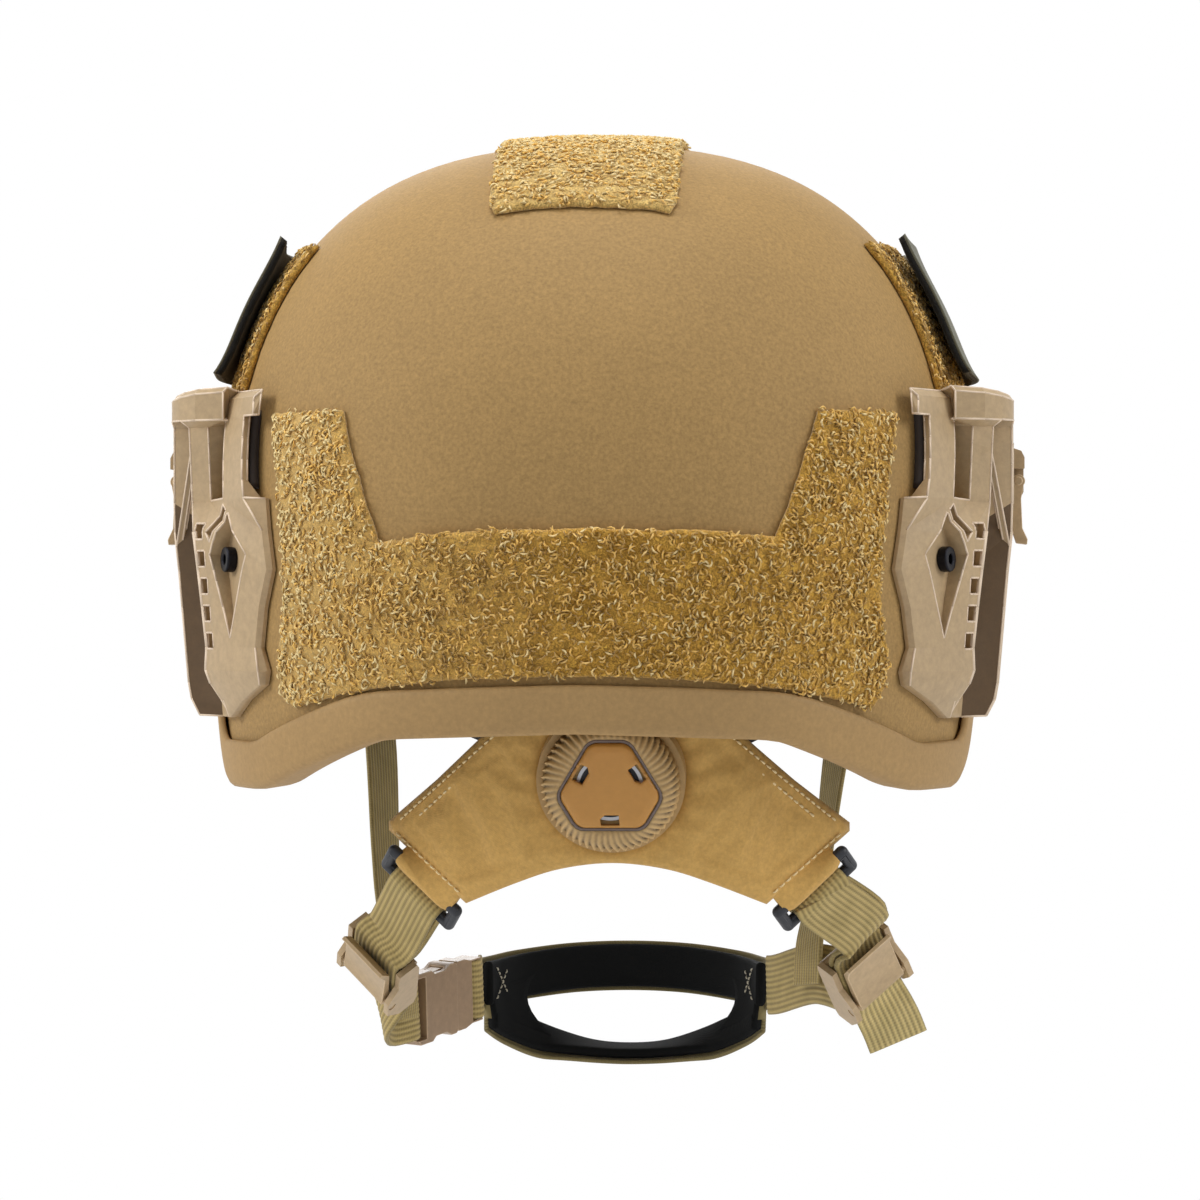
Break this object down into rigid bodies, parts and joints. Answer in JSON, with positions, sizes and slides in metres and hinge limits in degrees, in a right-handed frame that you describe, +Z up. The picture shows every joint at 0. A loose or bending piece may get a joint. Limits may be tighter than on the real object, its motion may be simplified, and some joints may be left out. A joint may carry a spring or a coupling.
{
  "type": "combat helmet",
  "caption": "High-cut combat helmet with loop panels, side rails and sliding accessory mounts, front bracket, padded liner, dial-adjusted nape harness and buckled chin strap.",
  "frame": {"origin": "centre of the wearer's head inside the shell, level with the middle of the rear loop panel's band", "axes": "+X to the wearer's left, -Y to the front, +Z up to the crown"},
  "size_m": [0.265, 0.2881, 0.2953],
  "materials": {
    "tan_paint": "fine textured paint over a pressed laminate",
    "rubber_tan": "matte",
    "loop_tan": "loop pile",
    "cover_olive": "stiff cloth on a hook backing",
    "tan_plastic": "moulded, satin",
    "black_screws": "black oxide",
    "steel": "plain",
    "dark_metal": "anodised",
    "liner_foam": "expanded foam",
    "pad_black": "brushed knit",
    "nape_tan": "smooth woven, stitched",
    "black_plastic": "moulded",
    "dial_tan": "moulded",
    "cap_orange": "moulded, bare",
    "webbing": "ribbed webbing",
    "buckle_brown": "moulded"
  },
  "bodies": {
    "helmet": {"shell": "tan_paint", "edge_trim": "rubber_tan", "crown_loop_panel": "loop_tan", "rear_loop_panel": "loop_tan", "front_loop_panel": "loop_tan", "side_loop_panel_left": "loop_tan", "side_loop_panel_right": "loop_tan", "side_cover_left": "cover_olive", "side_cover_right": "cover_olive", "rail_left": "tan_plastic", "rail_right": "tan_plastic", "rail_bolts": "black_screws", "rail_nuts": "steel", "front_bracket": "tan_plastic", "bracket_insert": "dark_metal", "bracket_screws": "black_screws", "liner_crown": "liner_foam", "liner_front": "liner_foam", "liner_rear": "liner_foam", "liner_left": "liner_foam", "liner_right": "liner_foam", "pad_crown": "pad_black", "pad_front": "pad_black", "pad_rear": "pad_black", "pad_left": "pad_black", "pad_right": "pad_black", "nape_pad": "nape_tan", "nape_plate": "black_plastic", "harness_arm_left": "black_plastic", "harness_arm_right": "black_plastic", "strap_anchors": "black_screws", "dial_base": "dial_tan", "nape_ring_left": "black_plastic", "nape_ring_right": "black_plastic", "rear_strap_left": "webbing", "rear_strap_right": "webbing", "adjuster_frame_left": "tan_plastic", "adjuster_frame_right": "tan_plastic", "cheek_strap_left": "webbing", "cheek_strap_right": "webbing", "front_strap_left": "webbing", "front_strap_right": "webbing", "strap_tail": "webbing", "buckle_socket": "buckle_brown", "buckle_plug": "buckle_brown", "chin_cup_lining": "pad_black", "chin_cup_cover": "webbing"},
    "dial_carrier": {"dial_axle": "steel"},
    "dial": {"dial_knob": "dial_tan", "dial_cap": "cap_orange"},
    "spool": {"dial_spool": "black_plastic"},
    "slide_left": {"rail_slide_left": "tan_plastic"},
    "slide_right": {"rail_slide_right": "tan_plastic"},
    "latch_left": {"slide_latch_left": "tan_plastic"},
    "latch_right": {"slide_latch_right": "tan_plastic"},
    "cam_left": {"adjuster_cam_left": "tan_plastic"},
    "cam_right": {"adjuster_cam_right": "tan_plastic"},
    "prong_upper": {"buckle_prong_upper": "buckle_brown"},
    "prong_lower": {"buckle_prong_lower": "buckle_brown"}
  },
  "joints": [
    {"name": "dial_pull", "type": "slide", "parent": "helmet", "child": "dial_carrier", "axis": [0, 0.963, -0.2696], "range_m": [0, 0.0025]},
    {"name": "dial_turn", "type": "hinge", "parent": "dial_carrier", "child": "dial", "pos_m": [-0.009, 0.109, -0.052], "axis": [0, 0.963, -0.2696], "continuous": true},
    {"name": "spool_turn", "type": "hinge", "parent": "helmet", "child": "spool", "pos_m": [-0.009, 0.109, -0.052], "axis": [0, 0.963, -0.2696], "continuous": true},
    {"name": "slide_left_travel", "type": "slide", "parent": "helmet", "child": "slide_left", "axis": [0, 1, 0], "range_m": [-0.017, 0.007]},
    {"name": "latch_left_lift", "type": "hinge", "parent": "slide_left", "child": "latch_left", "pos_m": [0.1297, 0.021, 0.0365], "axis": [0, -1, 0], "range_deg": [0, 12], "stiffness_Nm_per_rad": 0.3, "springref_deg": -5.73},
    {"name": "slide_right_travel", "type": "slide", "parent": "helmet", "child": "slide_right", "axis": [0, 1, 0], "range_m": [-0.017, 0.007]},
    {"name": "latch_right_lift", "type": "hinge", "parent": "slide_right", "child": "latch_right", "pos_m": [-0.1297, 0.021, 0.0365], "axis": [0, 1, 0], "range_deg": [0, 12], "stiffness_Nm_per_rad": 0.3, "springref_deg": -5.73},
    {"name": "cam_left_lift", "type": "hinge", "parent": "helmet", "child": "cam_left", "pos_m": [0.06978, 0.03451, -0.11655], "axis": [-0.6871, 0.2911, -0.6656], "range_deg": [0, 60]},
    {"name": "cam_right_lift", "type": "hinge", "parent": "helmet", "child": "cam_right", "pos_m": [-0.08701, 0.02994, -0.11859], "axis": [-0.7146, -0.3095, 0.6273], "range_deg": [0, 60]},
    {"name": "prong_upper_flex", "type": "hinge", "parent": "helmet", "child": "prong_upper", "pos_m": [0.04975, -0.03526, -0.11969], "axis": [-0.8837, 0.4657, -0.0466], "range_deg": [0, 7], "stiffness_Nm_per_rad": 0.2, "springref_deg": -2.86},
    {"name": "prong_lower_flex", "type": "hinge", "parent": "helmet", "child": "prong_lower", "pos_m": [0.04955, -0.03697, -0.13298], "axis": [0.8837, -0.4657, 0.0466], "range_deg": [0, 7], "stiffness_Nm_per_rad": 0.2, "springref_deg": -2.86}
  ],
  "couplings": [
    {"joint": "spool_turn", "follows": "dial_turn", "ratio": 1},
    {"joint": "prong_lower_flex", "follows": "prong_upper_flex", "ratio": 1}
  ]
}
